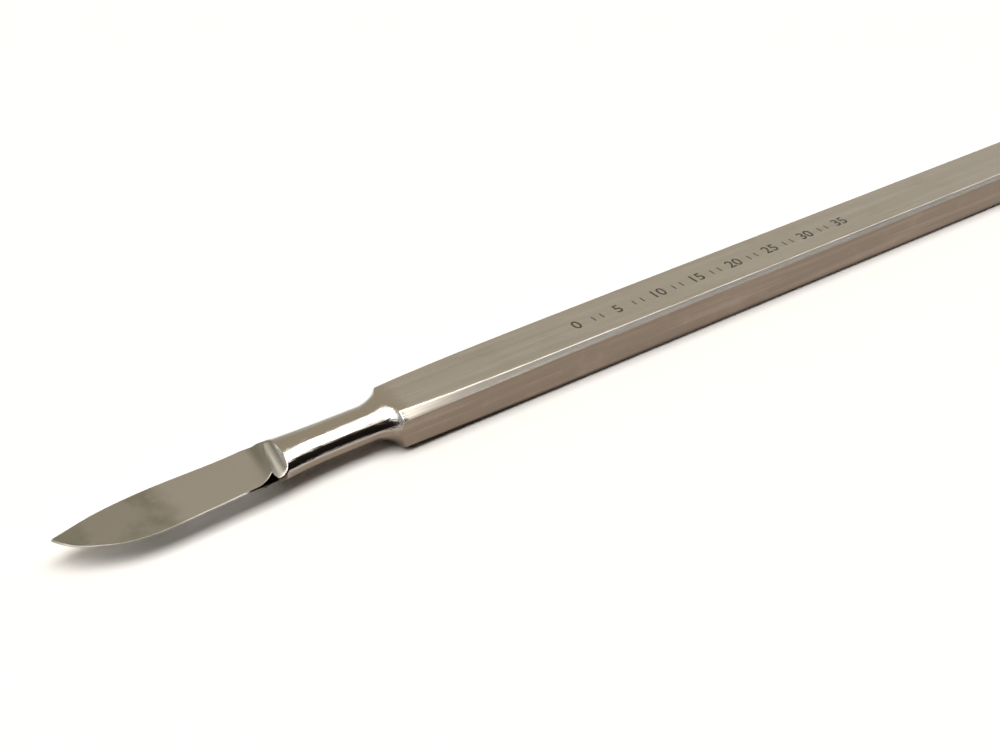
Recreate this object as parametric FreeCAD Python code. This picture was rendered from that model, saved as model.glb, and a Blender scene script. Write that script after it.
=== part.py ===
import FreeCAD, Part
import math
import os

# A one-piece ophthalmic scalpel, ground from a single bar of stainless steel, in millimetres.
# +X runs from the blade's tip to the butt of the handle, +Y is the side of the blade's spine
# and +Z is up. It lies on the flat underside of its handle, and the origin is on that plane,
# at the middle of the length and width.

# Overall
LENGTH = 130.0
FRONT_LENGTH = 30.8
TINY = 1e-6

# Handle: a flat bar with four long bevels, wide at the shoulder and soon narrower
HANDLE_WIDTH = 6.0
HANDLE_THICKNESS = 4.0
BEVEL_RUN_AT_SHOULDER = 0.79
BEVEL_RUN_AT_BUTT = 0.26
BEVEL_RUN_FADE = 6.5
BEVEL_DROP_AT_SHOULDER = 0.64
BEVEL_DROP_AT_BUTT = 0.48
BEVEL_DROP_FADE = 15.5
BEVEL_SECTIONS = 12
BEVEL_OVERRUN = 3.0
BUTT_CHAMFER = 0.4

# Neck: a rounded, waisted shank that flares out into the shoulder, a little above the handle's middle
LIFT = 0.1
WAIST_EDGE_HALF = 1.85
WAIST_SPINE_HALF = 2.04
WAIST_THICKNESS = 2.9
WAIST_END = 6.0
WAIST_EDGE_ROUNDING = 1.85
WAIST_SPINE_ROUNDING = 2.8
EDGE_FLARE_START = 2.7
EDGE_FLARE_RADIUS = 2.15
SPINE_FLARE_START = 2.3
SPINE_FLARE_RADIUS = 3.2
CROWN_START = 2.7
CROWN_RADIUS = 3.2
FLARE_TURN = 0.95
FLARE_OVERRUN = 0.9
FLARE_SECTIONS = 16
SECTION_POINTS = 32

# Root: the shank spread flat where the blade starts
ROOT_REACH = 14.2
ROOT_OVERRUN = 0.6
ROOT_EDGE_HALF = 2.75
ROOT_SPINE_HALF = 3.05
ROOT_THICKNESS = 2.15
ROOT_ROUNDING = 2.2
ROOT_SECTIONS = 13

# Plunge: the wheel's groove across the root, nearer the blade below, and the face's run-out beside it
PLUNGE_REACH = 11.9
PLUNGE_STAGGER = 0.7
PLUNGE_RADIUS = 0.77
PLUNGE_HALF_WEB = 0.7
PLUNGE_TILT = 0.25
PLUNGE_SLANT = 0.13
RUNOUT_START = 13.9
RUNOUT_RADIUS = 2.2
RUNOUT_RUN = 2.1
RUNOUT_SLANT = 0.25

# Blade: a thin wedge, thicker at the spine, with a belly and a fine edge bevel
BLADE_ROOT_HALF = 0.2
BLADE_TIP_HALF = 0.1
BLADE_WEDGE = 0.035
SPINE_WIDTH = 2.71
BELLY_WIDTH = 2.85
BELLY_REACH = 22.4
TIP_OFFSET = 1.25
EDGE_BEVEL_RUN = 0.12
EDGE_BEVEL_RISE = 0.18

SHOULDER = -LENGTH / 2 + FRONT_LENGTH
TIP = -LENGTH / 2
BUTT = LENGTH / 2
MIDDLE = HANDLE_THICKNESS / 2 + LIFT
CLEAR = HANDLE_WIDTH


def vec(x, y, z):
    return FreeCAD.Vector(x, y, z)


def along(reach):
    """The X of a place that lies this far in front of the shoulder."""
    return SHOULDER - reach


def spline_edge(points):
    """A smooth edge through the points."""
    curve = Part.BSplineCurve()
    curve.interpolate(points)
    return curve.toShape()


def line_edges(points):
    """Straight edges that join the points in order."""
    return [Part.LineSegment(a, b).toShape() for a, b in zip(points, points[1:])]


def prism(edges, direction):
    """The solid that a closed flat outline sweeps out along a direction."""
    return Part.Face(Part.Wire(Part.__sortEdges__(edges))).extrude(direction)


def faded(x, at_shoulder, at_butt, fade):
    """A measure that goes from its value at the shoulder towards that at the butt, ever more slowly."""
    return at_butt + (at_shoulder - at_butt) * math.exp(-(x - SHOULDER) / fade)


def bevel_section(x, side, level):
    """The triangle that one long bevel takes off at x, its slope drawn well past the handle's faces."""
    run = faded(x, BEVEL_RUN_AT_SHOULDER, BEVEL_RUN_AT_BUTT, BEVEL_RUN_FADE)
    drop = faded(x, BEVEL_DROP_AT_SHOULDER, BEVEL_DROP_AT_BUTT, BEVEL_DROP_FADE)
    inner, outer = HANDLE_WIDTH / 2 - 2 * run, HANDLE_WIDTH / 2 + run
    low, high = HANDLE_THICKNESS / 2 - 2 * drop, HANDLE_THICKNESS / 2 + drop
    corners = [(inner, high), (outer, low), (outer, high)]
    points = [vec(x, side * y, HANDLE_THICKNESS / 2 + level * z) for y, z in corners]
    return Part.makePolygon(points + points[:1])


def bevel_cutter(side, level):
    """What one long bevel takes off, lofted through sections that lie closer together near the shoulder."""
    start, end = SHOULDER - BEVEL_OVERRUN, BUTT + BEVEL_OVERRUN
    places = [start + (end - start) * (i / BEVEL_SECTIONS) ** 2 for i in range(BEVEL_SECTIONS + 1)]
    return Part.makeLoft([bevel_section(x, side, level) for x in places], True)


def bar():
    """The bar that everything is ground from: as wide and thick as the handle, with its four bevels."""
    blank = Part.makeBox(LENGTH, HANDLE_WIDTH, HANDLE_THICKNESS, vec(TIP, -HANDLE_WIDTH / 2, 0))
    for side in (-1, 1):
        for level in (-1, 1):
            blank = blank.cut(bevel_cutter(side, level))
    butt_edges = [e for e in blank.Edges if min(v.X for v in e.Vertexes) > BUTT - TINY]
    return blank.makeChamfer(BUTT_CHAMFER, butt_edges)


def flare(reach, start, radius):
    """How far a surface has risen along an arc that leaves the shank at start, then along its tangent."""
    run = max(start - reach, 0.0)
    turn = min(run, FLARE_TURN * radius)
    fall = math.sqrt(radius * radius - turn * turn)
    return radius - fall + (run - turn) * turn / fall


def spread(reach):
    """The share of the root's spreading: the square of the way from the waist to the root."""
    return (max(reach - WAIST_END, 0.0) / (ROOT_REACH - WAIST_END)) ** 2


def half_width(reach, spine_side):
    """Half the shank's width on one side: the waist, spread at the root and flared at the shoulder."""
    if spine_side:
        waist, root = WAIST_SPINE_HALF, ROOT_SPINE_HALF
        flared = flare(reach, SPINE_FLARE_START, SPINE_FLARE_RADIUS)
    else:
        waist, root = WAIST_EDGE_HALF, ROOT_EDGE_HALF
        flared = flare(reach, EDGE_FLARE_START, EDGE_FLARE_RADIUS)
    return waist + (root - waist) * spread(reach) + flared


def half_height(reach):
    """Half the shank's thickness: the waist, thinned at the root and crowned up to the handle's faces."""
    waist = WAIST_THICKNESS / 2
    thinned = (ROOT_THICKNESS / 2 - waist) * spread(reach) ** 2
    return waist + thinned + flare(reach, CROWN_START, CROWN_RADIUS)


def shank_section(reach):
    """One cross-section of the shank: two superellipse halves, squarer and wider on the spine's side."""
    near_root = min(spread(reach), 1.0)
    points = []
    for i in range(SECTION_POINTS):
        angle = 2 * math.pi * i / SECTION_POINTS
        cosine, sine = math.cos(angle), math.sin(angle)
        waist_power = WAIST_SPINE_ROUNDING if cosine > 0 else WAIST_EDGE_ROUNDING
        power = waist_power + (ROOT_ROUNDING - waist_power) * near_root
        size = (abs(cosine) ** power + abs(sine) ** power) ** (-1 / power)
        y = size * cosine * half_width(reach, cosine > 0)
        points.append(vec(along(reach), y, MIDDLE + size * sine * half_height(reach)))
    curve = Part.BSplineCurve()
    steps = [i / SECTION_POINTS for i in range(SECTION_POINTS + 1)]
    curve.interpolate(Points=points, PeriodicFlag=True, Parameters=steps)
    return Part.Wire(curve.toShape())


def shank():
    """The neck and root, lofted through even sections and through even steps of the flare's turn."""
    far_end = ROOT_REACH + ROOT_OVERRUN
    step = (far_end - EDGE_FLARE_START) / ROOT_SECTIONS
    reaches = [far_end - i * step for i in range(ROOT_SECTIONS)]
    last = EDGE_FLARE_START + FLARE_OVERRUN
    turns = [math.pi / 2 * i / FLARE_SECTIONS for i in range(FLARE_SECTIONS + 1)]
    reaches += [EDGE_FLARE_START - last * math.sin(turn) for turn in turns]
    return Part.makeLoft([shank_section(reach) for reach in reaches], True)


def blade_blank():
    """The uncut stock in front of the root, from which the blade is ground."""
    length = FRONT_LENGTH - ROOT_REACH - ROOT_OVERRUN
    return Part.makeBox(length, 2 * CLEAR, 2 * CLEAR, vec(TIP, -CLEAR, MIDDLE - CLEAR))


def handle_blank():
    """The stock behind the flare, which keeps the bar's own section."""
    start = SHOULDER + FLARE_OVERRUN
    return Part.makeBox(BUTT - start, 2 * CLEAR, 2 * CLEAR, vec(start, -CLEAR, MIDDLE - CLEAR))


def stagger(level):
    """How much nearer the blade the underside was ground than the upper side."""
    return PLUNGE_STAGGER if level < 0 else 0.0


def face_half(reach):
    """Half the blade's thickness on its centre line: a straight taper from root to tip."""
    share = (reach - RUNOUT_START) / (FRONT_LENGTH - RUNOUT_START)
    return BLADE_ROOT_HALF + (BLADE_TIP_HALF - BLADE_ROOT_HALF) * share


def runout_half(run):
    """Half the thickness along the run-out: an arc that rises from the face towards the handle."""
    return BLADE_ROOT_HALF + RUNOUT_RADIUS - math.sqrt(RUNOUT_RADIUS ** 2 - run * run)


def face_cutter(level):
    """What the wheel takes off one side of the blade: the face and its run-out, wedged and slanted."""
    def place(reach, half):
        x = along(reach) - CLEAR * RUNOUT_SLANT
        return vec(x, -CLEAR, MIDDLE + level * (half - CLEAR * BLADE_WEDGE))

    start, end = RUNOUT_START + stagger(level), FRONT_LENGTH + CLEAR
    front, root = place(end, face_half(end)), place(start, BLADE_ROOT_HALF)
    halfway = place(start - RUNOUT_RUN / 2, runout_half(RUNOUT_RUN / 2))
    crest = place(start - RUNOUT_RUN, runout_half(RUNOUT_RUN))
    edges = line_edges([front, root]) + [Part.Arc(root, halfway, crest).toShape()]
    edges += line_edges([crest, place(start - RUNOUT_RUN, CLEAR), place(end, CLEAR), front])
    return prism(edges, vec(RUNOUT_SLANT, 1, level * BLADE_WEDGE) * (2 * CLEAR))


def plunge_cutter(level):
    """The wheel's round groove, aslant across the root and deeper towards the cutting edge."""
    rise = PLUNGE_HALF_WEB + PLUNGE_RADIUS - CLEAR * PLUNGE_TILT
    far_reach = PLUNGE_REACH + stagger(level) + CLEAR * PLUNGE_SLANT
    start = vec(along(far_reach), -CLEAR, MIDDLE + level * rise)
    return Part.makeCylinder(PLUNGE_RADIUS, 2 * CLEAR, start, vec(PLUNGE_SLANT, 1, level * PLUNGE_TILT))


def plan_curve(start, end, shares, width):
    """Points of the blade's outline in plan: shares of the way from start to end, and of the width."""
    return [vec(along(start + (end - start) * s), width * w, MIDDLE) for s, w in shares]


def spine_line():
    """The blade's spine: nearly straight from the root, then a curve that falls to the tip."""
    shares = [(-0.12, 1.06), (0.0, 1.0), (0.42, 0.985), (0.67, 0.89), (0.79, 0.78), (0.91, 0.6)]
    return plan_curve(ROOT_REACH, FRONT_LENGTH, shares, SPINE_WIDTH) + [vec(TIP, TIP_OFFSET, MIDDLE)]


def belly_line():
    """The cutting edge: it swells from the heel to the belly and sweeps up to the tip."""
    heel = [(-0.2, 0.85), (0.0, 0.855), (0.36, 0.91), (0.75, 0.965), (1.0, 1.0)]
    sweep = [(0.235, 0.967), (0.46, 0.83), (0.67, 0.55), (0.87, 0.14)]
    points = plan_curve(ROOT_REACH, BELLY_REACH, heel, -BELLY_WIDTH)
    points += plan_curve(BELLY_REACH, FRONT_LENGTH, sweep, -BELLY_WIDTH)
    return points + [vec(TIP, TIP_OFFSET, MIDDLE)]


def outside(curve, side):
    """The closed outline of what lies outside a curve of the blade on one side."""
    start, end = curve[0], curve[-1]
    front = TIP - CLEAR
    corners = [end, vec(front, end.y, MIDDLE), vec(front, side * CLEAR, MIDDLE)]
    return [spline_edge(curve)] + line_edges(corners + [vec(start.x, side * CLEAR, MIDDLE), start])


def spine_cutter():
    """What lies outside the spine, square to the blade's middle plane."""
    return prism(outside(spine_line(), 1), vec(0, 0, 2 * CLEAR)).translated(vec(0, 0, -CLEAR))


def edge_cutter(level):
    """What lies outside the cutting edge, leaning inwards from the middle plane to make the edge bevel."""
    height = CLEAR / 4
    lean = height * EDGE_BEVEL_RUN / EDGE_BEVEL_RISE
    return prism(outside(belly_line(), -1), vec(0, lean, level * height))


def scalpel():
    """The whole instrument: the bar, narrowed to the shank and ground to the blade."""
    stock = shank().fuse([blade_blank(), handle_blank()])
    body = bar().common(stock)
    for level in (-1, 1):
        body = body.cut(face_cutter(level)).cut(plunge_cutter(level)).cut(edge_cutter(level))
    body = body.cut(spine_cutter()).removeSplitter()
    return body.Solids[0]


os.makedirs("parts", exist_ok=True)
solid = scalpel()
solid.exportStep("parts/scalpel.step")
corners = solid.tessellate(0.01)[0]
low = [round(min(p[i] for p in corners), 3) for i in range(3)]
high = [round(max(p[i] for p in corners), 3) for i in range(3)]
print("valid", solid.isValid(), "volume", round(solid.Volume, 2), "box", low, high)
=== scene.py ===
import math

import bpy
import numpy as np
from bpy.props import FloatProperty, FloatVectorProperty, IntProperty, PointerProperty
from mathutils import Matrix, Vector


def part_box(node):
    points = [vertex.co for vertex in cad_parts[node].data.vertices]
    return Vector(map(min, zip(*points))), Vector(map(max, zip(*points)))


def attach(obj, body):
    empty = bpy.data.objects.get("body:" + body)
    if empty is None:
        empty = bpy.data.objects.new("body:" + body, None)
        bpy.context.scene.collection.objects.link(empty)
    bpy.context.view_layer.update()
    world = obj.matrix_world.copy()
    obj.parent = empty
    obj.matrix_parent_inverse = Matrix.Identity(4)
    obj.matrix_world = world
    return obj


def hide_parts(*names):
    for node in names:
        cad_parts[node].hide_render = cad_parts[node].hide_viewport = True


bl_info = {
    "name": "Eye scalpel",
    "version": (1, 0, 0),
    "blender": (4, 5, 0),
    "location": "View3D > Sidebar > Scalpel",
    "description": "A one-piece eye scalpel of brushed steel, its etched scale and the studio it lies in",
    "category": "Object",
}

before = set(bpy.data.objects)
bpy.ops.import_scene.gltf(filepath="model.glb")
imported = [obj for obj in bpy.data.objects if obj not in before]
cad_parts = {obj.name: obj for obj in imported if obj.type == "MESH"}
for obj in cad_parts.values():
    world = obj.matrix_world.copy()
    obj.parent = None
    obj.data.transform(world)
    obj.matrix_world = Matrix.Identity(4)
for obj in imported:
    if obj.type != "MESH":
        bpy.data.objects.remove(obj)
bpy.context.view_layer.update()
LOW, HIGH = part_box("scalpel")
MM = 0.001


def length(name, millimetres, description):
    """A size that a user can change, written in millimetres and kept in metres."""
    return FloatProperty(name=name, description=description, default=millimetres * MM,
                         unit="LENGTH", precision=5)


def studio_length(name, metres, description):
    """A size of the studio that a user can change, in metres."""
    return FloatProperty(name=name, description=description, default=metres, unit="LENGTH")


def number(name, value, description):
    """A plain value that a user can change."""
    return FloatProperty(name=name, description=description, default=value, precision=3)


def angle(name, degrees, description):
    """An angle that a user can change, written in degrees and kept in radians."""
    return FloatProperty(name=name, description=description, default=math.radians(degrees), subtype="ANGLE")


def tone(name, rgb, description):
    """A colour that a user can change."""
    return FloatVectorProperty(name=name, description=description, default=rgb, size=3, subtype="COLOR")


class HandleSizes(bpy.types.PropertyGroup):
    """The bar: its section comes from the frame's box, its bevels narrow from the shoulder to the butt."""
    shoulder: length("Shoulder", 30.8, "How far the shoulder lies behind the blade's tip")
    run_near: length("Bevel run at shoulder", 0.79, "Width of a bevel over the flat face, at the shoulder")
    run_far: length("Bevel run at butt", 0.26, "Width of a bevel over the flat face, near the butt")
    run_fade: length("Bevel run fade", 6.5, "Distance in which the extra run falls to about a third")
    drop_near: length("Bevel drop at shoulder", 0.64, "Height of a bevel on the side face, at the shoulder")
    drop_far: length("Bevel drop at butt", 0.48, "Height of a bevel on the side face, near the butt")
    drop_fade: length("Bevel drop fade", 15.5, "Distance in which the extra drop falls to about a third")
    butt_chamfer: length("Butt chamfer", 0.4, "Width of the chamfer round the butt")


class NeckSizes(bpy.types.PropertyGroup):
    """The shank: superellipse halves, waisted in the middle, spread at the root, flared at the shoulder."""
    lift: length("Lift", 0.1, "Height of the neck's and blade's middle above the handle's middle")
    edge_half: length("Waist, edge side", 1.85, "Half width of the waist towards the cutting edge")
    spine_half: length("Waist, spine side", 2.04, "Half width of the waist towards the spine")
    half_height: length("Waist half height", 1.45, "Half thickness of the waist")
    waist_end: length("Waist end", 6.0, "Distance before the shoulder at which the neck starts to spread")
    edge_rounding: number("Rounding, edge side", 1.85, "Exponent of the waist's outline on the edge side")
    spine_rounding: number("Rounding, spine side", 2.8, "Exponent of the waist's outline on the spine side")
    edge_flare: length("Edge side flare start", 2.7, "Start of the flare on the edge side")
    edge_flare_radius: length("Edge side flare radius", 2.15, "Radius of the flare on the edge side")
    spine_flare: length("Spine side flare start", 2.3, "Start of the flare on the spine side")
    spine_flare_radius: length("Spine side flare radius", 3.2, "Radius of the flare on the spine side")
    crown: length("Crown start", 2.7, "Start of the rise to the handle's flat faces")
    crown_radius: length("Crown radius", 3.2, "Radius of that rise")
    overrun: length("Overrun", 0.9, "How far behind the shoulder the flare still cuts the bar")
    root: length("Root", 14.2, "Distance before the shoulder of the widest part of the root")
    root_edge_half: length("Root, edge side", 2.75, "Half width of the root towards the cutting edge")
    root_spine_half: length("Root, spine side", 3.05, "Half width of the root towards the spine")
    root_half_height: length("Root half height", 1.075, "Half thickness of the root before grinding")
    root_rounding: number("Root rounding", 2.2, "Exponent of the root's superellipse")


class BladeSizes(bpy.types.PropertyGroup):
    """The blade: two faces that rise to the neck, a groove across each, a spine, a belly and a bevel."""
    runout: length("Run-out", 13.9, "Distance before the shoulder at which the upper face starts to rise")
    runout_radius: length("Run-out radius", 2.2, "Radius of that rise")
    runout_slant: number("Run-out slant", 0.25, "How much further forward it starts per width of blade")
    groove: length("Groove", 11.9, "Distance of the upper groove's middle before the shoulder")
    groove_radius: length("Groove radius", 0.77, "Radius of the wheel that ground the groove")
    groove_web: length("Groove web", 0.7, "Half thickness left in the groove, at the middle line")
    groove_tilt: number("Groove tilt", 0.25, "Rise of the groove's floor towards the spine")
    groove_slant: number("Groove slant", 0.13, "How much further forward the groove lies per width of blade")
    stagger: length("Stagger", 0.7, "How much nearer the blade the underside is ground")
    root_half: length("Thickness at root", 0.2, "Half thickness of the blade at the hollow")
    tip_half: length("Thickness at tip", 0.1, "Half thickness of the blade at the tip")
    wedge: number("Wedge", 0.035, "Rise of each face towards the spine")
    spine: length("Spine width", 2.71, "Distance of the spine from the middle line")
    belly: length("Belly width", 2.85, "Distance of the belly from the middle line")
    belly_place: length("Belly place", 22.4, "Distance of the belly before the shoulder")
    tip_offset: length("Tip offset", 1.25, "Distance of the tip from the middle line, towards the spine")
    bevel_slope: number("Edge bevel slope", 0.8, "Rise over run of the cutting edge's bevel")
    heel_slope: number("Heel slope", 1.5, "Rise over run of the flank at the heel")
    heel_end: length("Heel end", 15.2, "Distance before the shoulder at which the flank has become the bevel")


class SurfaceGrid(bpy.types.PropertyGroup):
    """How finely the surface is divided, and how sharp its edges stay."""
    blade_step: length("Blade step", 0.22, "Distance between rings on the blade")
    fine_step: length("Fine step", 0.04, "Distance between rings at the groove, the flare and the tip")
    neck_step: length("Neck step", 0.16, "Distance between rings on the neck")
    handle_rings: IntProperty(name="Handle rings", description="Rings along the handle", default=60)
    handle_easing: number("Handle easing", 70.0, "Sharpness of the handle's and neck's edges")
    blade_easing: number("Blade easing", 170.0, "Sharpness of the blade's edges")


class SteelLooks(bpy.types.PropertyGroup):
    """The colours and finish of the steel, with the colours of its painted shade, reflection and highlight.
    """
    steel: tone("Steel", (0.705, 0.695, 0.67), "Base colour of the steel")
    dull: tone("Dull steel", (0.57, 0.555, 0.52), "Colour of the faint stains")
    # Painted reflection and shade: this brown and its paler lines are painted where handle and neck face
    # sideways or down.
    side: tone("Side", (0.222, 0.176, 0.137), "Pinkish brown of the side faces and the underside")
    pale_painted_side_shade: tone("Pale side", (0.33, 0.264, 0.218), "Colour of the paler lines on them")
    # Painted highlight: this cream colour is painted on the upward-facing bevels near the shoulder.
    bright: tone("Bright steel", (0.95, 0.90, 0.82), "Colour of the bevel where it is freshly ground")
    blade: tone("Blade", (0.63, 0.62, 0.60), "Base colour of the blade")
    blade_dark: tone("Dark blade", (0.38, 0.38, 0.345), "Colour of the darker front of the blade")
    # Also painted shade: the tip colour darkens a line along the blade's spine, where its surface faces away
    # from the near side.
    tip: tone("Tip", (0.36, 0.375, 0.305), "Colour of the tip and of the line along the spine")
    # Painted shade: this dark colour is painted on the heel's flank where it faces the near side, and partly
    # on the handle's downward faces.
    heel: tone("Heel", (0.10, 0.075, 0.055), "Colour of the heel's dark flank, also mixed into the underside")
    flat_roughness: number("Flat roughness", 0.32, "Roughness of the brushed flats")
    bevel_roughness: number("Bevel roughness", 0.55, "Roughness of the long bevels")
    polish_roughness: number("Polish roughness", 0.10, "Roughness of the neck")
    blade_roughness: number("Blade roughness", 0.32, "Roughness of the blade's faces and of the grooves")
    ink: tone("Etching", (0.035, 0.03, 0.026), "Colour of the etched scale")


class ScaleSizes(bpy.types.PropertyGroup):
    """The etched millimetre scale on the handle's upper face."""
    start: length("Scale start", 20.5, "Distance of the first number behind the shoulder")
    offset: length("Scale offset", -0.15, "Distance of the scale from the handle's middle line")
    step: length("Number step", 5.0, "Distance between numbers")
    count: IntProperty(name="Numbers", description="How many numbers the scale has", default=8)
    height: length("Number height", 1.35, "Height of the numbers")
    tick: length("Tick height", 0.8, "Height of the lines between the numbers")
    line: length("Line width", 0.14, "Width of the lines between the numbers")
    depth: length("Depth", 0.004, "How far the etching's colour stands on the face")


class StageSettings(bpy.types.PropertyGroup):
    """The floor, the dark card, the room, the softbox and the camera."""
    floor: tone("Floor", (0.97, 0.97, 0.97), "Colour of the floor")
    floor_radius: studio_length("Floor radius", 12.0, "Radius of the floor")
    horizon: tone("Horizon", (0.50, 0.50, 0.49), "Light of the pale backdrop at the horizon")
    room: tone("Room", (0.39, 0.33, 0.24), "Light of the room above the backdrop")
    horizon_top: angle("Top of backdrop", 11.0, "Height at which the backdrop starts to fade into the room")
    room_start: angle("Start of room", 20.0, "Height at which it has faded")
    card: tone("Dark card", (0.012, 0.006, 0.004), "Colour of the dark card behind the camera")
    card_radius: studio_length("Card radius", 8.0, "Distance of the card")
    card_top: angle("Top of card", 52.0, "Height of the card, seen from the scalpel")
    card_from: angle("Card from", -180.0, "Direction in which the card starts")
    card_to: angle("Card to", -10.0, "Direction in which the card ends")
    softbox_height: studio_length("Softbox height", 3.0, "Height of the softbox")
    softbox_front: number("Softbox front", -0.40, "Front edge of the softbox, in heights from the scalpel")
    softbox_back: number("Softbox back", 0.30, "Back edge of the softbox, in heights from the scalpel")
    softbox_left: number("Softbox left", -3.4, "Edge of the softbox beyond the blade, in heights")
    softbox_right: number("Softbox right", 1.0, "Edge of the softbox beyond the handle, in heights")
    softbox_light: number("Softbox light", 3.0, "Radiance of the softbox, where 1 shows as white")
    softbox_tone: tone("Softbox tone", (1.0, 0.98, 0.955), "Colour of the softbox")
    aim: FloatVectorProperty(name="Aim", description="Point on the floor the camera looks at",
                             default=(-20.83 * MM, 2.21 * MM, 0.0), size=3, subtype="TRANSLATION")
    distance: length("Camera distance", 145.5, "Distance of the camera from that point")
    pitch: angle("Camera pitch", 33.06, "How far the camera looks down")
    heading: angle("Camera heading", -36.39, "Turn of the camera about the vertical")
    lens: FloatProperty(name="Lens", description="Focal length for a 36 mm wide sensor", default=56.27)


class ScalpelSettings(bpy.types.PropertyGroup):
    """All settings of the scalpel, by part."""
    handle: PointerProperty(type=HandleSizes)
    neck: PointerProperty(type=NeckSizes)
    blade: PointerProperty(type=BladeSizes)
    grid: PointerProperty(type=SurfaceGrid)
    steel: PointerProperty(type=SteelLooks)
    etching: PointerProperty(type=ScaleSizes)
    stage: PointerProperty(type=StageSettings)


# Curves and profiles: each takes and gives whole arrays

def blend(near, far, share):
    """The share of the way from near to far."""
    return near + (far - near) * share


def smooth_step(value, low, high):
    """0 below low, 1 above high, and the cubic 3s^2 - 2s^3 of the share between."""
    share = np.clip((value - low) / (high - low), 0.0, 1.0)
    return share * share * (3 - 2 * share)


def natural_spline(knots, values, at):
    """A cubic through the values with no bend at its ends: its second derivatives solve one linear system."""
    gaps = np.diff(knots)
    slopes = np.diff(values) / gaps
    system = np.eye(len(knots))
    bends = np.zeros(len(knots))
    inner = np.arange(1, len(knots) - 1)
    system[inner, inner - 1] = gaps[:-1]
    system[inner, inner] = 2 * (gaps[:-1] + gaps[1:])
    system[inner, inner + 1] = gaps[1:]
    bends[inner] = 6 * np.diff(slopes)
    bends = np.linalg.solve(system, bends)
    i = np.clip(np.searchsorted(knots, at) - 1, 0, len(gaps) - 1)
    s = at - knots[i]
    start = slopes[i] - gaps[i] * (2 * bends[i] + bends[i + 1]) / 6
    return values[i] + s * (start + s * (bends[i] / 2 + s * (bends[i + 1] - bends[i]) / (6 * gaps[i])))


def plan_curve(points, reach):
    """The offset at each reach, on a smooth curve through (reach, offset) points spaced by their chords."""
    points = np.array(points)
    chords = np.hypot(*np.diff(points, axis=0).T)
    knots = np.concatenate([[0.0], np.cumsum(chords)])
    fine = np.linspace(0.0, knots[-1], 2000)
    line = [natural_spline(knots, points[:, i], fine) for i in (0, 1)]
    return np.interp(reach, line[0], line[1])


def soft_minimum(one, other, ease):
    """The lower of two heights with an eased crease: half their sum less half their distance."""
    return (one + other - np.sqrt((one - other) ** 2 + ease ** 2)) / 2


def risen(run, radius):
    """Rise along a circle that starts level, and steeply on where the circle has nearly turned upright."""
    turn_limit = 0.97
    steepness = 8.0
    turn = np.clip(run, 0.0, turn_limit * radius)
    return radius - np.sqrt(radius ** 2 - turn ** 2) + np.maximum(run - turn, 0.0) * steepness


def flare(reach, start, radius):
    """Rise along a circle of this radius that leaves the shank at start, then along its tangent."""
    turn_limit = 0.95
    run = np.maximum(start - reach, 0.0)
    turn = np.minimum(run, turn_limit * radius)
    fall = np.sqrt(radius * radius - turn * turn)
    return radius - fall + (run - turn) * turn / fall


def faded(reach, near, far, fade):
    """A measure that goes from near at the shoulder towards far, by an exponential of the distance."""
    behind = np.maximum(-reach, 0.0)
    return far + (near - far) * np.exp(-behind / fade)


def butt_reach(handle):
    """The reach of the butt: the frame's length, less the part before the shoulder, taken backwards."""
    return handle.shoulder - (HIGH.x - LOW.x)


# The least half thickness that grinding leaves, and the width of the crease between a face and its groove
THINNEST = 0.02 * MM
GROOVE_CREASE = 0.05 * MM

# How far in front of the root's widest part the shank stops bounding the section
BLANK_MARGIN = 0.6 * MM


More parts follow.
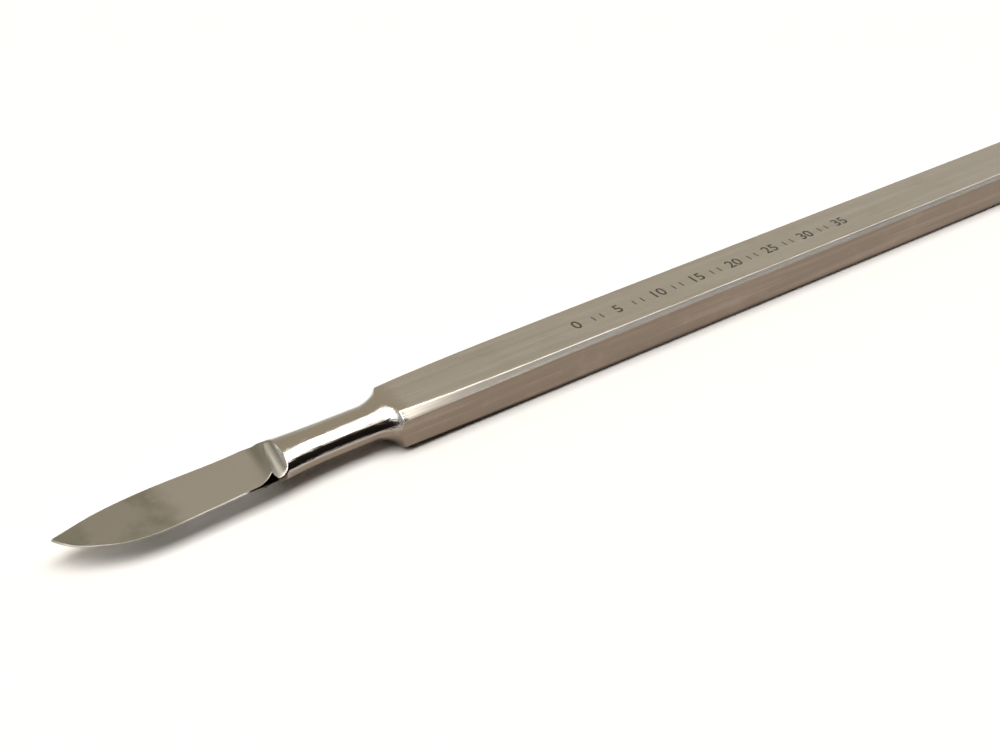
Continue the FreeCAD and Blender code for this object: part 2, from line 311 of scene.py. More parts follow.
class Shape:
    """The scalpel's outlines and thicknesses at an array of reaches, measured forwards from the shoulder."""

    def __init__(self, settings, reach):
        self.reach = reach
        self.half_width = HIGH.y
        self.top = HIGH.z / 2 - settings.neck.lift
        self.bottom = HIGH.z / 2 + settings.neck.lift
        self.middle = self.bottom
        self.measure_handle(settings.handle)
        self.measure_neck(settings.neck)
        self.measure_blade(settings.blade, settings.neck, settings.handle.shoulder)
        # Upper and lower face: direction, height of the bar's flat, and how far further forward it is ground
        self.faces = ((1, self.top, 0.0), (-1, self.bottom, settings.blade.stagger))
        self.measure_extent()

    def measure_handle(self, handle):
        """The bevels, and what the butt's chamfer takes off all round."""
        self.run = faded(self.reach, handle.run_near, handle.run_far, handle.run_fade)
        self.drop = faded(self.reach, handle.drop_near, handle.drop_far, handle.drop_fade)
        self.inset = np.maximum(handle.butt_chamfer - (self.reach - butt_reach(handle)), 0.0)

    def measure_neck(self, neck):
        """Half widths, half height and exponents of the shank's superellipse.

        It is infinite where it bounds nothing: behind the flare, where the bar is full, and along the blade.
        """
        reach = self.reach
        way = np.maximum(reach - neck.waist_end, 0.0) / (neck.root - neck.waist_end)
        spread = way ** 2
        behind = np.where(reach < -neck.overrun, np.inf, 0.0)
        edge_side = blend(neck.edge_half, neck.root_edge_half, spread)
        spine_side = blend(neck.spine_half, neck.root_spine_half, spread)
        height = blend(neck.half_height, neck.root_half_height, spread ** 2)
        self.shank_edge = edge_side + flare(reach, neck.edge_flare, neck.edge_flare_radius) + behind
        self.shank_spine = spine_side + flare(reach, neck.spine_flare, neck.spine_flare_radius) + behind
        self.shank_height = height + flare(reach, neck.crown, neck.crown_radius) + behind
        near_root = np.minimum(spread, 1.0)
        self.edge_power = blend(neck.edge_rounding, neck.root_rounding, near_root)
        self.spine_power = blend(neck.spine_rounding, neck.root_rounding, near_root)
        blade_blank = reach > neck.root + BLANK_MARGIN
        for name in ("shank_edge", "shank_spine", "shank_height"):
            setattr(self, name, np.where(blade_blank, np.inf, getattr(self, name)))

    def measure_blade(self, blade, neck, front):
        """The spine's and edge's offsets, the flank's slope and the faces' taper: front is the tip's reach.

        Each outline is given as shares of the way to its next main place and of its width there.
        """
        reach = self.reach
        tip = (front, blade.tip_offset)
        spine = [(-0.12, 1.06), (0.0, 1.0), (0.42, 0.985), (0.67, 0.89), (0.79, 0.78), (0.91, 0.6)]
        heel = [(-0.2, 0.85), (0.0, 0.855), (0.36, 0.91), (0.75, 0.965), (1.0, 1.0)]
        sweep = [(0.235, 0.967), (0.46, 0.83), (0.67, 0.55), (0.87, 0.14)]

        def placed(shares, start, end, width):
            return [(blend(start, end, s), width * w) for s, w in shares]

        spine_points = placed(spine, neck.root, front, blade.spine) + [tip]
        edge_points = placed(heel, neck.root, blade.belly_place, -blade.belly)
        edge_points += placed(sweep, blade.belly_place, front, -blade.belly) + [tip]
        self.spine = np.where(reach < spine_points[0][0], np.inf, plan_curve(spine_points, reach))
        self.edge = np.where(reach < edge_points[0][0], -np.inf, plan_curve(edge_points, reach))
        sharpened = smooth_step(reach, blade.groove, blade.heel_end)
        self.slope = blend(blade.heel_slope, blade.bevel_slope, sharpened)
        share = (reach - blade.runout) / (front - blade.runout)
        self.taper = blend(blade.root_half, blade.tip_half, share)
        self.blade_turn = (blade.groove - blade.groove_radius, blade.runout)
        self.blade = blade

    def face_height(self, y, shift):
        """Height of a face over the middle plane at the offsets y.

        It is a plane that rises with the wedge, plus the rise of a circle behind the run-out. The groove is a
        second circle, on a floor that is tilted across the blade. The lower of the two counts.
        """
        blade = self.blade
        column = (slice(None),) + (None,) * (np.ndim(y) - 1)
        run = blade.runout + shift - blade.runout_slant * y - self.reach[column]
        height = self.taper[column] + blade.wedge * y + risen(run, blade.runout_radius)
        run = np.abs(self.reach[column] - blade.groove - shift + blade.groove_slant * y)
        floor = blade.groove_web + blade.groove_tilt * y + risen(run, blade.groove_radius)
        return np.maximum(soft_minimum(height, floor, GROOVE_CREASE), THINNEST)

    def measure_extent(self):
        """The section's centre and its reach to each side, up and down: the least of what bounds it."""
        side = self.half_width - self.inset
        self.spine_extent = np.minimum.reduce([side, self.shank_spine, self.spine])
        self.edge_extent = np.maximum.reduce([-side, -self.shank_edge, self.edge])
        self.centre = (self.spine_extent + self.edge_extent) / 2
        self.across = (self.spine_extent - self.edge_extent) / 2
        upright = []
        for _, flat, shift in self.faces:
            face = self.face_height(self.centre, shift)
            upright.append(np.minimum.reduce([flat - self.inset, self.shank_height, face]))
        self.up, self.down = upright


def fullness(shape, y, z, easing):
    """How full the section is at y, z: 1 on its surface.

    Each bound gives the share of the way from the section's centre to it: for a plane the ratio of distances,
    for the shank the superellipse's own norm. The shares are joined as a norm with a high exponent, so the
    nearest bound decides, and a higher exponent eases the edges less.
    """
    far_share = 30.0
    corner_inset = 0.6
    centre = shape.centre[:, None]
    total = np.zeros_like(y)

    def add(share):
        nonlocal total
        total = total + np.clip(share, 0.0, far_share) ** easing

    def column(value):
        return value if np.ndim(value) == 0 else value[:, None]

    def plane(across, upright, limit):
        across, upright, limit = column(across), column(upright), column(limit)
        room = limit - across * centre
        add((across * (y - centre) + upright * z) / np.maximum(room, 1e-9))

    for side in (-1, 1):
        plane(side, 0.0, shape.half_width - shape.inset)
    for level, flat, _ in shape.faces:
        plane(0.0, level, flat - shape.inset)
        for side in (-1, 1):
            limit = shape.half_width / shape.run + flat / shape.drop - 1
            scale = 1 / shape.run + 1 / shape.drop
            plane(side / shape.run, level / shape.drop, limit - shape.inset * scale * corner_inset)
    half = np.where(y > 0, shape.shank_spine[:, None], shape.shank_edge[:, None])
    power = np.where(y > 0, shape.spine_power[:, None], shape.edge_power[:, None])
    shank = (np.abs(y / half) ** power + np.abs(z / shape.shank_height[:, None]) ** power) ** (1 / power)
    add(shank)
    plane(1.0, 0.0, shape.spine)
    for level, _, shift in shape.faces:
        plane(-1.0, level / shape.slope, -shape.edge)
        add(level * z / shape.face_height(y, shift))
    return total ** (1 / easing)


# Points in each of the ten stretches between a section's edges, and the stretches that are the four bevels
SPACING = (9, 14, 34, 20, 12, 12, 20, 34, 14, 9)
BEVEL_STRETCHES = (1, 3, 6, 8)


def corner_angles(shape):
    """The turn of each long edge of the section, in its own stretched angle, as columns from 0 to 2 pi."""
    meeting_steps = 8

    def turn(y, z):
        upright = np.where(np.asarray(z) > 0, shape.up, shape.down)
        return np.arctan2(z / upright, (y - shape.centre) / shape.across)

    on_blade = smooth_step(shape.reach, shape.blade_turn[0], shape.blade_turn[1])
    columns = [np.zeros_like(shape.reach)]
    for level, flat, shift in shape.faces:
        spine = np.where(np.isfinite(shape.spine), shape.spine, shape.spine_extent)
        edge = np.where(np.isfinite(shape.edge), shape.edge, shape.edge_extent)
        spine_height = np.minimum(shape.face_height(spine, shift), shape.shank_height)
        spine_turn = np.abs(turn(spine, level * spine_height))
        meeting = edge
        for _ in range(meeting_steps):
            face = np.minimum(shape.face_height(meeting, shift), shape.shank_height)
            meeting = np.minimum(edge + face / shape.slope, shape.centre)
        edge_turn = np.abs(turn(meeting, level * shape.slope * (meeting - edge)))
        half = shape.half_width
        low, high = level * (flat - shape.drop), level * flat
        bar = [np.abs(turn(half, low)), np.abs(turn(half - shape.run, high)),
               np.abs(turn(shape.run - half, high)), np.abs(turn(-half, low))]
        ground = [0.5 * spine_turn, spine_turn, edge_turn, (edge_turn + np.pi) / 2]
        mixed = [blend(b, g, on_blade) for b, g in zip(bar, ground)]
        if level > 0:
            columns += mixed + [np.full_like(shape.reach, np.pi)]
        else:
            columns += [2 * np.pi - m for m in reversed(mixed)] + [np.full_like(shape.reach, 2 * np.pi)]
    return columns


def ring_angles(shape):
    """The angles of a ring's points: each stretch between two edges is divided finely near the edges."""
    columns = corner_angles(shape)
    crowding = 0.96
    angles = []
    for start, end, count in zip(columns, columns[1:], SPACING):
        u = np.arange(count) / count
        share = u - crowding * np.sin(2 * np.pi * u) / (2 * np.pi)
        angles.append(blend(start[:, None], end[:, None], share))
    return np.concatenate(angles, axis=1)


def ring_reaches(settings):
    """Where the rings lie: close together at the tip, grooves and flare, further apart on the handle."""
    tip_length = 1.2 * MM
    tip_shares = np.linspace(0.02, 1.0, 24) ** 2
    bar_crowding = 1.6
    butt_shares = np.array([1.3, 1.1, 1.02, 0.98, 0.9, 0.5, 0.1, 0.02, 0.0])
    neck, blade, grid, handle = settings.neck, settings.blade, settings.grid, settings.handle
    butt = butt_reach(handle)
    groove_front = blade.runout + blade.stagger + blade.runout_slant * blade.belly
    groove_back = blade.groove - blade.groove_radius - blade.groove_slant * blade.spine - grid.neck_step
    flare_front = neck.edge_flare + grid.neck_step
    flare_back = -neck.overrun - grid.neck_step

    def evenly(start, end, step):
        return np.linspace(start, end, int(math.ceil((start - end) / step)) + 1)[:-1]

    tip = handle.shoulder - tip_shares * tip_length
    body = evenly(tip[-1], groove_front, grid.blade_step)[1:]
    grooves = evenly(groove_front, groove_back, grid.fine_step)
    waist = evenly(groove_back, flare_front, grid.neck_step)
    flared = evenly(flare_front, flare_back, grid.fine_step)
    chamfer = handle.butt_chamfer
    shares = (np.arange(grid.handle_rings) / grid.handle_rings) ** bar_crowding
    bar = flare_back + (butt + chamfer + grid.neck_step - flare_back) * shares
    end = butt + chamfer * butt_shares
    return np.concatenate([tip, body, grooves, waist, flared, bar, end])


def scalpel_rings(settings):
    """The whole surface as rings of points.

    A ring's point lies on a ray from the section's centre, at the place where the section's fullness is 1,
    which is found for all points at once by halving the stretch between the centre and a far end.
    """
    halvings = 26
    far_end = 4.0
    reach = ring_reaches(settings)
    shape = Shape(settings, reach)
    turn = ring_angles(shape)
    upright = np.where(np.sin(turn) > 0, shape.up[:, None], shape.down[:, None])
    y_step, z_step = np.cos(turn) * shape.across[:, None], np.sin(turn) * upright
    blade_share = smooth_step(reach, settings.neck.waist_end, settings.blade.runout)[:, None]
    grid = settings.grid
    easing = blend(grid.handle_easing, grid.blade_easing, blade_share)
    low, high = np.zeros_like(turn), np.full_like(turn, far_end)
    for _ in range(halvings):
        half = (low + high) / 2
        inside = fullness(shape, shape.centre[:, None] + half * y_step, half * z_step, easing) < 1
        low, high = np.where(inside, half, low), np.where(inside, high, half)
    x = LOW.x + settings.handle.shoulder - reach
    y = shape.centre[:, None] + low * y_step
    z = shape.middle + low * z_step
    return np.stack([np.broadcast_to(x[:, None], y.shape), y, z], axis=-1)


# Meshes

def bevel_marks(ring_count):
    """1 at each point of the rings that lies on a long bevel, 0 at the others and at the two end points."""
    starts = np.concatenate([[0], np.cumsum(SPACING)])
    band = np.zeros(sum(SPACING))
    for stretch in BEVEL_STRETCHES:
        band[starts[stretch]:starts[stretch + 1] + 1] = 1.0
    return np.concatenate([np.tile(band, ring_count), [0.0, 0.0]]).astype(np.float32)


def grid_mesh(name, rings, start, end):
    """A closed mesh of rings, with a point that closes each end."""
    count, width = rings.shape[:2]
    vertices = np.concatenate([rings.reshape(-1, 3), [start, end]])
    lap = np.arange(width)
    after = (lap + 1) % width
    row = np.arange(count - 1)[:, None] * width
    quads = np.stack([row + lap, row + after, row + width + after, row + width + lap], axis=-1)
    last_row = (count - 1) * width
    first = np.stack([np.full(width, count * width), after, lap], axis=-1)
    last = np.stack([np.full(width, count * width + 1), last_row + lap, last_row + after], axis=-1)
    return new_mesh(name, vertices, [quads.reshape(-1, 4), first, last])


def new_mesh(name, vertices, face_sets):
    """A mesh from an array of points and arrays of faces, all shaded smooth."""
    mesh = bpy.data.meshes.new(name)
    loops = np.concatenate([faces.reshape(-1) for faces in face_sets])
    sides = np.concatenate([np.full(len(faces), faces.shape[1]) for faces in face_sets])
    mesh.vertices.add(len(vertices))
    mesh.vertices.foreach_set("co", np.asarray(vertices, np.float32).reshape(-1))
    mesh.loops.add(len(loops))
    mesh.loops.foreach_set("vertex_index", loops.astype(np.int32))
    mesh.polygons.add(len(sides))
    mesh.polygons.foreach_set("loop_start", np.concatenate([[0], np.cumsum(sides)[:-1]]).astype(np.int32))
    mesh.polygons.foreach_set("loop_total", sides.astype(np.int32))
    mesh.update(calc_edges=True)
    mesh.validate()
    mesh.polygons.foreach_set("use_smooth", np.ones(len(mesh.polygons), bool))
    return mesh


def add_object(name, mesh, material=None):
    """An object at the origin that shows the mesh."""
    piece = bpy.data.objects.new(name, mesh)
    bpy.context.scene.collection.objects.link(piece)
    if material:
        mesh.materials.append(material)
    return piece


# Shader nodes

class Term:
    """A shader value: arithmetic on it adds Math nodes to its tree."""

    def __init__(self, tree, socket):
        self.tree = tree
        self.socket = socket

    def math(self, operation, *others):
        """A Math node on this value and the others."""
        node = self.tree.nodes.new("ShaderNodeMath")
        node.operation = operation
        for slot, value in zip(node.inputs, (self, *others)):
            connect(self.tree, slot, value)
        return Term(self.tree, node.outputs[0])

    def __add__(self, other):
        return self.math("ADD", other)

    __radd__ = __add__

    def __mul__(self, other):
        return self.math("MULTIPLY", other)

    __rmul__ = __mul__

    def __sub__(self, other):
        return self.math("SUBTRACT", other)

    def __rsub__(self, other):
        return (self * -1.0) + other

    def step(self, low, high):
        """0 below low, 1 above high, smooth between."""
        node = self.tree.nodes.new("ShaderNodeMapRange")
        node.interpolation_type = "SMOOTHSTEP"
        for slot, value in zip(node.inputs, (self, low, high, 0.0, 1.0)):
            connect(self.tree, slot, value)
        return Term(self.tree, node.outputs[0])


def connect(tree, slot, value):
    """Puts a link or a plain value into a socket."""
    if isinstance(value, Term):
        tree.links.new(value.socket, slot)
    elif isinstance(value, bpy.types.NodeSocket):
        tree.links.new(value, slot)
    else:
        slot.default_value = value


def new_material(name):
    """An empty material that uses nodes."""
    material = bpy.data.materials.new(name)
    material.use_nodes = True
    return material


class Recipe:
    """A material's or the world's nodes in the making."""

    def __init__(self, tree):
        self.tree = tree
        tree.nodes.clear()

    def node(self, kind, settings=None, **sockets):
        """A node of this kind: its settings are set first, then its sockets, named with _ for a space."""
        node = self.tree.nodes.new(kind)
        for name, value in (settings or {}).items():
            setattr(node, name, value)
        for name, value in sockets.items():
            connect(self.tree, node.inputs[name.replace("_", " ")], value)
        return node

    def term(self, kind, output=0, settings=None, **sockets):
        """One output of a new node, as a shader value."""
        return Term(self.tree, self.node(kind, settings, **sockets).outputs[output])

    def coordinates(self, kind):
        """Coordinates of this kind, as a vector and as three values."""
        vector = self.node("ShaderNodeTexCoord").outputs[kind]
        split = self.node("ShaderNodeSeparateXYZ", Vector=vector)
        return vector, [Term(self.tree, out) for out in split.outputs]

    def noise(self, vector, scale, detail=2.0, roughness=0.5):
        """Fractal noise between 0 and 1."""
        return self.term("ShaderNodeTexNoise", settings={"noise_dimensions": "3D"},
                         Vector=vector, Scale=scale, Detail=detail, Roughness=roughness)

    def lines(self, vector, scales, detail=2.0, roughness=0.5):
        """Noise with a scale for each axis, which draws it out into lines."""
        stretched = self.node("ShaderNodeMapping", Vector=vector, Scale=scales).outputs[0]
        return self.noise(stretched, 1.0, detail, roughness)

    def mix(self, share, low, high):
        """A colour between two colours."""
        node = self.node("ShaderNodeMix", {"data_type": "RGBA"})
        factor, one, other = node.inputs[0], node.inputs[6], node.inputs[7]
        for slot, value in zip((factor, one, other), (share, low, high)):
            if not isinstance(value, (Term, bpy.types.NodeSocket, float)):
                value = (*value, 1.0)
            connect(self.tree, slot, value)
        return node.outputs[2]

    def finish(self, colour, roughness, normal=None, metallic=1.0):
        """The Principled shader and the output."""
        shader = self.node("ShaderNodeBsdfPrincipled",
                           Base_Color=colour, Roughness=roughness, Metallic=metallic)
        if normal is not None:
            connect(self.tree, shader.inputs["Normal"], normal)
        self.node("ShaderNodeOutputMaterial", Surface=shader.outputs[0])


# Where the finish, the painted highlight on the upper bevels and the painted shade on the heel's flank change
# along the bar, measured backwards from the shoulder
HANDLE_START = (-1.6 * MM, 1.4 * MM)
BEVEL_START = (-0.5 * MM, 0.2 * MM)
FLANK_START = (-15.8 * MM, -15.0 * MM)
HIGHLIGHT_FADE = (1.0 * MM, 26.0 * MM)

# Where it changes at the grooves, measured backwards from the upper groove's middle
ROOT_END = (0.4 * MM, 0.8 * MM)
BLADE_END = (-1.6 * MM, -0.8 * MM)

# Where it changes along the blade, measured backwards from the tip
CLOUDS_END = 9.6 * MM
POINT_END = (0.3 * MM, 2.2 * MM)


class SteelMap:
    """The regions of the steel and the patterns on it, as shader values between 0 and 1."""

    def __init__(self, recipe, settings):
        vector, (self.x, self.y, _) = recipe.coordinates("Object")
        _, (_, self.normal_y, self.normal_z) = recipe.coordinates("Normal")
        self.shoulder = LOW.x + settings.handle.shoulder
        self.mark_regions(recipe, settings.blade)
        self.make_patterns(recipe, vector)

    def behind(self, x, bounds):
        """0 before the first bound and 1 behind the second, which are both measured from the shoulder."""
        return x.step(self.shoulder + bounds[0], self.shoulder + bounds[1])

    def mark_regions(self, recipe, blade):
        """The handle, the root and blade, the blade alone, the grooves, the bevels and the heel's flank."""
        along_groove = self.x - self.y * blade.groove_slant - (self.shoulder - blade.groove)
        self.handle = self.behind(self.x, HANDLE_START)
        self.root = 1.0 - along_groove.step(*ROOT_END)
        self.blade = 1.0 - along_groove.step(*BLADE_END)
        self.grooves = self.root - self.blade
        marks = {"attribute_name": "bevel", "attribute_type": "GEOMETRY"}
        bevel = recipe.term("ShaderNodeAttribute", "Fac", marks)
        self.bevel = bevel * self.behind(self.x, BEVEL_START) * self.handle.step(0.0, 0.3)
        behind_heel = self.root * self.behind(self.x, FLANK_START)
        # Painted shade: the flank behind the heel that faces the near side is marked here for a dark colour;
        # it is also polished smoother.
        self.flank = behind_heel * (1.0 - self.normal_y.step(-0.6, -0.35))

    def make_patterns(self, recipe, vector):
        """Hairlines and wider streaks along the bar, lines across it, a fine grain and clouds.

        Their scales are in features per metre, along the bar, across it and upwards.
        """
        self.hair = recipe.lines(vector, (150.0, 7000.0, 7000.0), 3.0, 0.6)
        self.streak = recipe.lines(vector, (60.0, 1800.0, 1800.0))
        self.across = recipe.lines(vector, (6000.0, 500.0, 500.0))
        self.grain = recipe.noise(vector, 5000.0)
        self.cloud = recipe.noise(vector, 320.0, 3.0, 0.6)


def brushed_steel(settings):
    """Steel brushed along its length, with a polished neck, grooves ground across and a satin blade."""
    looks = settings.steel
    material = new_material("brushed steel")
    recipe = Recipe(material.node_tree)
    on = SteelMap(recipe, settings)
    colour = recipe.mix(on.root, stained_steel(recipe, looks, on), looks.blade)
    colour = blade_stains_and_shade(recipe, looks, on, colour)
    colour = painted_side_shade(recipe, looks, on, colour)
    colour = painted_bevel_highlight(recipe, looks, on, colour)
    recipe.finish(colour, steel_roughness(looks, on), steel_relief(recipe, on))
    return material


def steel_roughness(looks, on):
    """Polished on the neck, satin elsewhere, smoother on the heel's flank, uneven where it is brushed."""
    hair_swing, streak_swing, flank_polish = 0.12, 0.14, 0.2
    polish = looks.polish_roughness
    flat = on.handle * (1.0 - on.bevel)
    rough = polish + flat * (looks.flat_roughness - polish)
    rough = rough + on.bevel * (looks.bevel_roughness - polish)
    rough = rough + on.root * (looks.blade_roughness - polish)
    uneven = (on.hair - 0.5) * hair_swing + (on.streak - 0.5) * streak_swing
    rough = rough + uneven * (1.0 - on.root)
    return rough - on.flank * flank_polish


def steel_relief(recipe, on):
    """The bump of the brush lines on bar and neck, of the lines in the grooves and of the blade's grain."""
    hair_depth, more_on_handle, streak_depth, groove_depth, grain_depth = 0.9, 0.2, 0.8, 1.6, 0.3
    brushed = on.hair * (hair_depth + on.handle * more_on_handle) + on.streak * streak_depth
    ground = on.across * on.grooves * groove_depth
    height = brushed * (1.0 - on.root) + ground + on.grain * on.blade * grain_depth
    bump = recipe.node("ShaderNodeBump", Strength=0.5, Distance=0.00004, Height=height)
    return bump.outputs[0]


def stained_steel(recipe, looks, on):
    """The steel's own colour with faint cloudy stains, and duller hairlines outside the root and blade."""
    strength = 0.35
    stain = on.cloud.step(0.5, 0.8) * strength + on.hair.step(0.5, 0.8) * strength * (1.0 - on.root)
    return recipe.mix(stain, looks.steel, looks.dull)


def blade_stains_and_shade(recipe, looks, on, colour):
    """Darker grooves, a cloudy front and a dark tip, with painted shade as a line along the spine and on the
    heel's flank.
    """
    even_share, cloudy_share, point_share = 0.45, 0.55, 0.7
    groove_share = 0.7 + 0.3 * on.y.step(-1.8 * MM, 1.0 * MM)
    colour = recipe.mix(on.grooves * groove_share, colour, looks.blade_dark)
    past_clouds = on.x + (on.cloud - 0.5) * 5.0 * MM - (LOW.x + CLOUDS_END)
    front = 1.0 - past_clouds.step(-0.9 * MM, 0.9 * MM)
    clouds = even_share + on.cloud.step(0.4, 0.7) * cloudy_share
    colour = recipe.mix(front * clouds, colour, looks.blade_dark)
    ragged_x = on.x + (on.cloud - 0.5) * 2.0 * MM
    point = 1.0 - ragged_x.step(LOW.x + POINT_END[0], LOW.x + POINT_END[1])
    # Painted shade: a dark line where the blade's surface turns towards the spine side.
    back = on.blade * on.normal_y.step(0.15, 0.5)
    colour = recipe.mix((point * point_share).math("MAXIMUM", back), colour, looks.tip)
    # Painted shade: the heel's flank that faces the near side takes the dark heel colour.
    return recipe.mix(on.flank, colour, looks.heel)


def painted_side_shade(recipe, looks, on, colour):
    """Painted reflection and shade: brown with paler lines where handle and neck face sideways or down,
    darkest beneath the handle.
    """
    underside_shade_share = 0.45
    lines = on.streak.step(0.4, 0.75) * 0.6 + on.cloud.step(0.5, 0.75) * 0.3
    # Painted reflection and shade: faces of handle and neck that turn sideways or down are coloured brown.
    sides = (1.0 - on.normal_z.step(0.1, 0.5)) * (1.0 - on.root)
    colour = recipe.mix(sides, colour, recipe.mix(lines, looks.side, looks.pale_painted_side_shade))
    # Painted shade: downward faces of the handle are darkened towards the heel colour.
    underside_shade = on.handle * (1.0 - on.normal_z.step(-0.6, -0.2)) * underside_shade_share
    return recipe.mix(underside_shade, colour, looks.heel)


def painted_bevel_highlight(recipe, looks, on, colour):
    """The upper bevels with a painted highlight, strongest at the shoulder and fading in streaks behind it.
    """
    highlight_fade_share = 0.9
    highlight_fade = on.behind(on.x + (on.streak - 0.5) * 20.0 * MM, HIGHLIGHT_FADE)
    # Painted highlight on the upward-facing bevels, fading in streaks behind the shoulder.
    highlight_share = on.bevel * on.normal_z.step(0.1, 0.3) * (1.0 - highlight_fade_share * highlight_fade)
    return recipe.mix(highlight_share, colour, looks.bright)


def etched_ink(settings):
    """The dark matt colour of the etched scale."""
    material = new_material("etching")
    recipe = Recipe(material.node_tree)
    vector, _ = recipe.coordinates("Object")
    speck = recipe.noise(vector, 4000.0)
    ink = settings.steel.ink
    colour = recipe.mix(speck.step(0.5, 0.9) * 0.4, ink, settings.steel.dull)
    recipe.finish(colour, 0.6, metallic=0.0)
    return material


def plain(name, colour, roughness):
    """One even, matt colour."""
    material = new_material(name)
    Recipe(material.node_tree).finish((*colour, 1.0), roughness, metallic=0.0)
    return material


# Operators

UNIT_SQUARE = np.array([(-1, -1), (1, -1), (1, 1), (-1, 1)]) / 2
FLOOR_SIDES = 96
CARD_COLUMNS = 65


class SCALPEL_OT_steel(bpy.types.Operator):
    """Makes the scalpel's surface: blade, neck and handle in one closed mesh"""
    bl_idname = "scalpel.steel"
    bl_label = "Scalpel"

    def execute(self, context):
        cap_shares = (0.985, 0.9, 0.5)
        settings = context.scene.scalpel
        rings = scalpel_rings(settings)
        tip_end, butt_end = rings[0].mean(axis=0), rings[-1].mean(axis=0)
        tip_end[0] = LOW.x
        caps = [butt_end + (rings[-1] - butt_end) * share for share in cap_shares]
        rings = np.concatenate([rings, np.stack(caps)])
        mesh = grid_mesh("scalpel_steel", rings, tip_end, butt_end)
        marks = mesh.attributes.new("bevel", "FLOAT", "POINT")
        marks.data.foreach_set("value", bevel_marks(len(rings)))
        piece = add_object("scalpel_steel", mesh, brushed_steel(settings))
        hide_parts("scalpel")
        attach(piece, "root")
        return {"FINISHED"}


class SCALPEL_OT_etching(bpy.types.Operator):
    """Makes the etched scale: plain numbers, with short lines between them"""
    bl_idname = "scalpel.etching"
    bl_label = "Etched scale"

    def execute(self, context):
        settings = context.scene.scalpel
        etching = settings.etching
        ink = etched_ink(settings)
        start = LOW.x + settings.handle.shoulder + etching.start
        for piece in (self.numbers(etching, start, ink), self.ticks(etching, start, ink)):
            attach(piece, "root")
        return {"FINISHED"}

    def numbers(self, etching, start, ink):
        """The numbers in a row on the face, joined into one mesh."""
        vertices, faces, base = [], [], 0
        for i in range(etching.count):
            points, polygons = self.figure(str(i * round(etching.step / MM)), etching)
            vertices.append(points + [start + i * etching.step, etching.offset, HIGH.z + etching.depth])
            faces += [[base + v for v in polygon] for polygon in polygons]
            base += len(points)
        mesh = bpy.data.meshes.new("scale_numbers")
        mesh.from_pydata(np.concatenate(vertices).tolist(), [], faces)
        return add_object("scale_numbers", mesh, ink)

    def figure(self, digits, etching):
        """The points and faces of one number at the origin, from a text that is removed again."""
        size_per_height, boldness = 1.35, 0.15
        text = bpy.data.curves.new("number", "FONT")
        text.body = digits
        text.size = etching.height * size_per_height
        text.align_x, text.align_y = "CENTER", "CENTER"
        text.offset = etching.line * boldness
        source = bpy.data.objects.new("number", text)
        bpy.context.scene.collection.objects.link(source)
        bpy.context.view_layer.update()
        mesh = bpy.data.meshes.new_from_object(source)
        points = np.zeros(len(mesh.vertices) * 3, np.float32)
        mesh.vertices.foreach_get("co", points)
        faces = [list(polygon.vertices) for polygon in mesh.polygons]
        bpy.data.objects.remove(source)
        bpy.data.meshes.remove(mesh)
        return points.reshape(-1, 3), faces

    def ticks(self, etching, start, ink):
        """A thin rectangle at each millimetre that has no number on it or beside it."""
        between = round(etching.step / MM)
        marks = np.arange((etching.count - 1) * between + 1)
        past_number = marks % between
        marks = marks[(past_number > 1) & (past_number < between - 1)]
        flat = UNIT_SQUARE * [etching.line, etching.tick]
        centres = np.stack([start + marks * MM, np.full(len(marks), etching.offset)], axis=-1)
        points = (centres[:, None, :] + flat[None]).reshape(-1, 2)
        heights = np.full((len(points), 1), HIGH.z + etching.depth)
        faces = np.arange(len(points)).reshape(-1, 4)
        mesh = new_mesh("scale_ticks", np.hstack([points, heights]), [faces])
        return add_object("scale_ticks", mesh, ink)


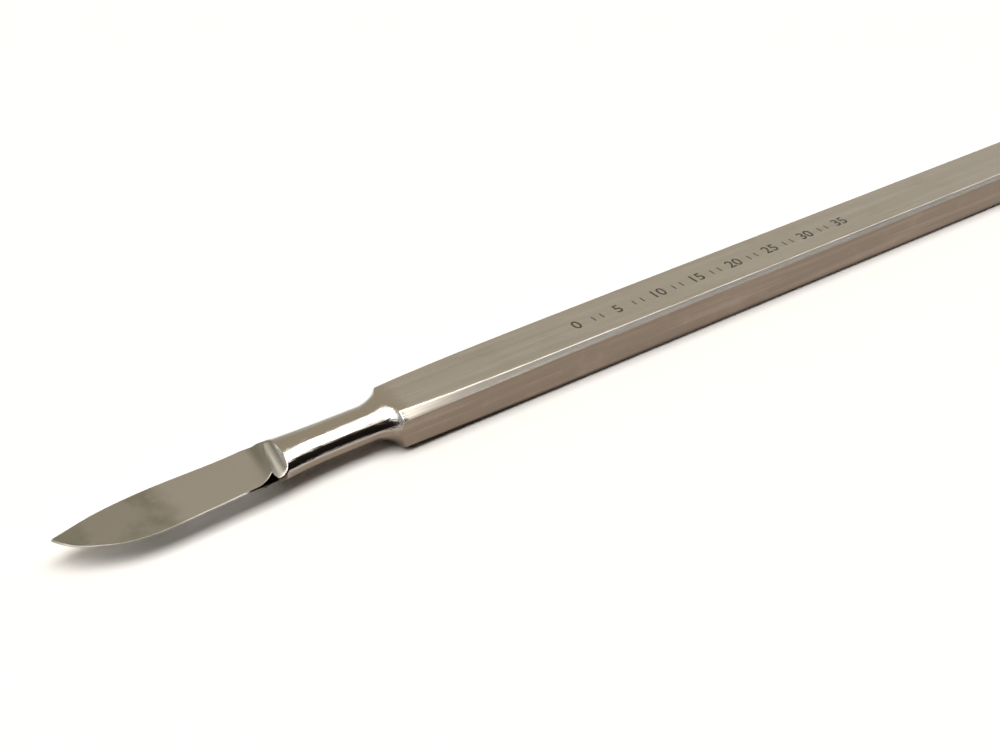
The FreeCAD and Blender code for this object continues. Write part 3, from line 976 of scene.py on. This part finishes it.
class SCALPEL_OT_stage(bpy.types.Operator):
    """Makes the studio: pale floor, dark card, room, softbox and camera"""
    bl_idname = "scalpel.stage"
    bl_label = "Stage"

    def execute(self, context):
        stage = context.scene.scalpel.stage
        self.floor(stage)
        self.card(stage)
        self.room(stage)
        self.softbox(stage)
        self.camera(stage)
        context.scene.view_settings.view_transform = "Standard"
        return {"FINISHED"}

    def floor(self, stage):
        """A wide disc, as one polygon."""
        turn = np.linspace(0, 2 * np.pi, FLOOR_SIDES, endpoint=False)
        radius = stage.floor_radius
        points = np.stack([radius * np.cos(turn), radius * np.sin(turn), np.full_like(turn, LOW.z)], axis=-1)
        mesh = new_mesh("floor", points, [np.arange(FLOOR_SIDES)[None]])
        add_object("floor", mesh, plain("floor", stage.floor, 0.9))

    def card(self, stage):
        """A dark card on the camera's side, which polished steel shows as a dark band: part of a cylinder."""
        turn = np.linspace(stage.card_from, stage.card_to, CARD_COLUMNS)
        flat = stage.card_radius * np.stack([np.cos(turn), np.sin(turn)], axis=-1)
        foot = np.zeros(CARD_COLUMNS)
        top = foot + stage.card_radius * math.tan(stage.card_top)
        points = np.concatenate([np.column_stack([flat, foot]), np.column_stack([flat, top])])
        column = np.arange(CARD_COLUMNS - 1)
        corners = [column, column + CARD_COLUMNS, column + CARD_COLUMNS + 1, column + 1]
        mesh = new_mesh("card", points, [np.stack(corners, axis=-1)])
        card = add_object("card", mesh, plain("card", stage.card, 1.0))
        card.visible_camera = False

    def room(self, stage):
        """A pale backdrop at the horizon, which fades into the room above it."""
        world = bpy.data.worlds.new("room")
        world.use_nodes = True
        bpy.context.scene.world = world
        recipe = Recipe(world.node_tree)
        _, (_, _, height) = recipe.coordinates("Generated")
        share = height.step(math.sin(stage.horizon_top), math.sin(stage.room_start))
        colour = recipe.mix(share, stage.horizon, stage.room)
        light = recipe.node("ShaderNodeBackground", Color=colour, Strength=1.0)
        recipe.node("ShaderNodeOutputWorld", Surface=light.outputs[0])

    def softbox(self, stage):
        """One large rectangular softbox overhead, which reaches further beyond the blade."""
        lamp = bpy.data.lights.new("softbox", "AREA")
        lamp.shape = "RECTANGLE"
        lamp.color = stage.softbox_tone
        lamp.size = (stage.softbox_right - stage.softbox_left) * stage.softbox_height
        lamp.size_y = (stage.softbox_back - stage.softbox_front) * stage.softbox_height
        lamp.energy = math.pi * lamp.size * lamp.size_y * stage.softbox_light
        box = bpy.data.objects.new("softbox", lamp)
        across = (stage.softbox_right + stage.softbox_left) / 2 * stage.softbox_height
        middle = (stage.softbox_back + stage.softbox_front) / 2 * stage.softbox_height
        box.location = (across, middle, stage.softbox_height)
        bpy.context.scene.collection.objects.link(box)

    def camera(self, stage):
        """The camera looks down at the aim, turned about the vertical."""
        data = bpy.data.cameras.new("camera")
        data.lens = stage.lens
        data.sensor_width = 36.0
        data.clip_start = 0.005
        data.clip_end = 2 * stage.floor_radius
        camera = bpy.data.objects.new("camera", data)
        level, down = math.cos(stage.pitch), math.sin(stage.pitch)
        ahead = Vector((-math.sin(stage.heading) * level, math.cos(stage.heading) * level, -down))
        camera.location = Vector(stage.aim) - ahead * stage.distance
        camera.rotation_euler = (math.pi / 2 - stage.pitch, 0.0, stage.heading)
        bpy.context.scene.collection.objects.link(camera)
        bpy.context.scene.camera = camera


class SCALPEL_PT_panel(bpy.types.Panel):
    """The scalpel's settings and its operators"""
    bl_idname = "SCALPEL_PT_panel"
    bl_label = "Scalpel"
    bl_space_type = "VIEW_3D"
    bl_region_type = "UI"
    bl_category = "Scalpel"

    def draw(self, context):
        for operator in OPERATORS:
            self.layout.operator(operator.bl_idname)
        for name in ScalpelSettings.__annotations__:
            box = self.layout.box()
            group = getattr(context.scene.scalpel, name)
            for setting in type(group).__annotations__:
                box.prop(group, setting)


OPERATORS = (SCALPEL_OT_steel, SCALPEL_OT_etching, SCALPEL_OT_stage)
GROUPS = (HandleSizes, NeckSizes, BladeSizes, SurfaceGrid, SteelLooks, ScaleSizes, StageSettings)
CLASSES = (*GROUPS, ScalpelSettings, *OPERATORS, SCALPEL_PT_panel)


def register():
    for each in CLASSES:
        bpy.utils.register_class(each)
    bpy.types.Scene.scalpel = PointerProperty(type=ScalpelSettings)


def unregister():
    del bpy.types.Scene.scalpel
    for each in reversed(CLASSES):
        bpy.utils.unregister_class(each)


def main():
    register()
    bpy.ops.scalpel.steel()
    bpy.ops.scalpel.etching()
    bpy.ops.scalpel.stage()


if __name__ == "__main__":
    main()
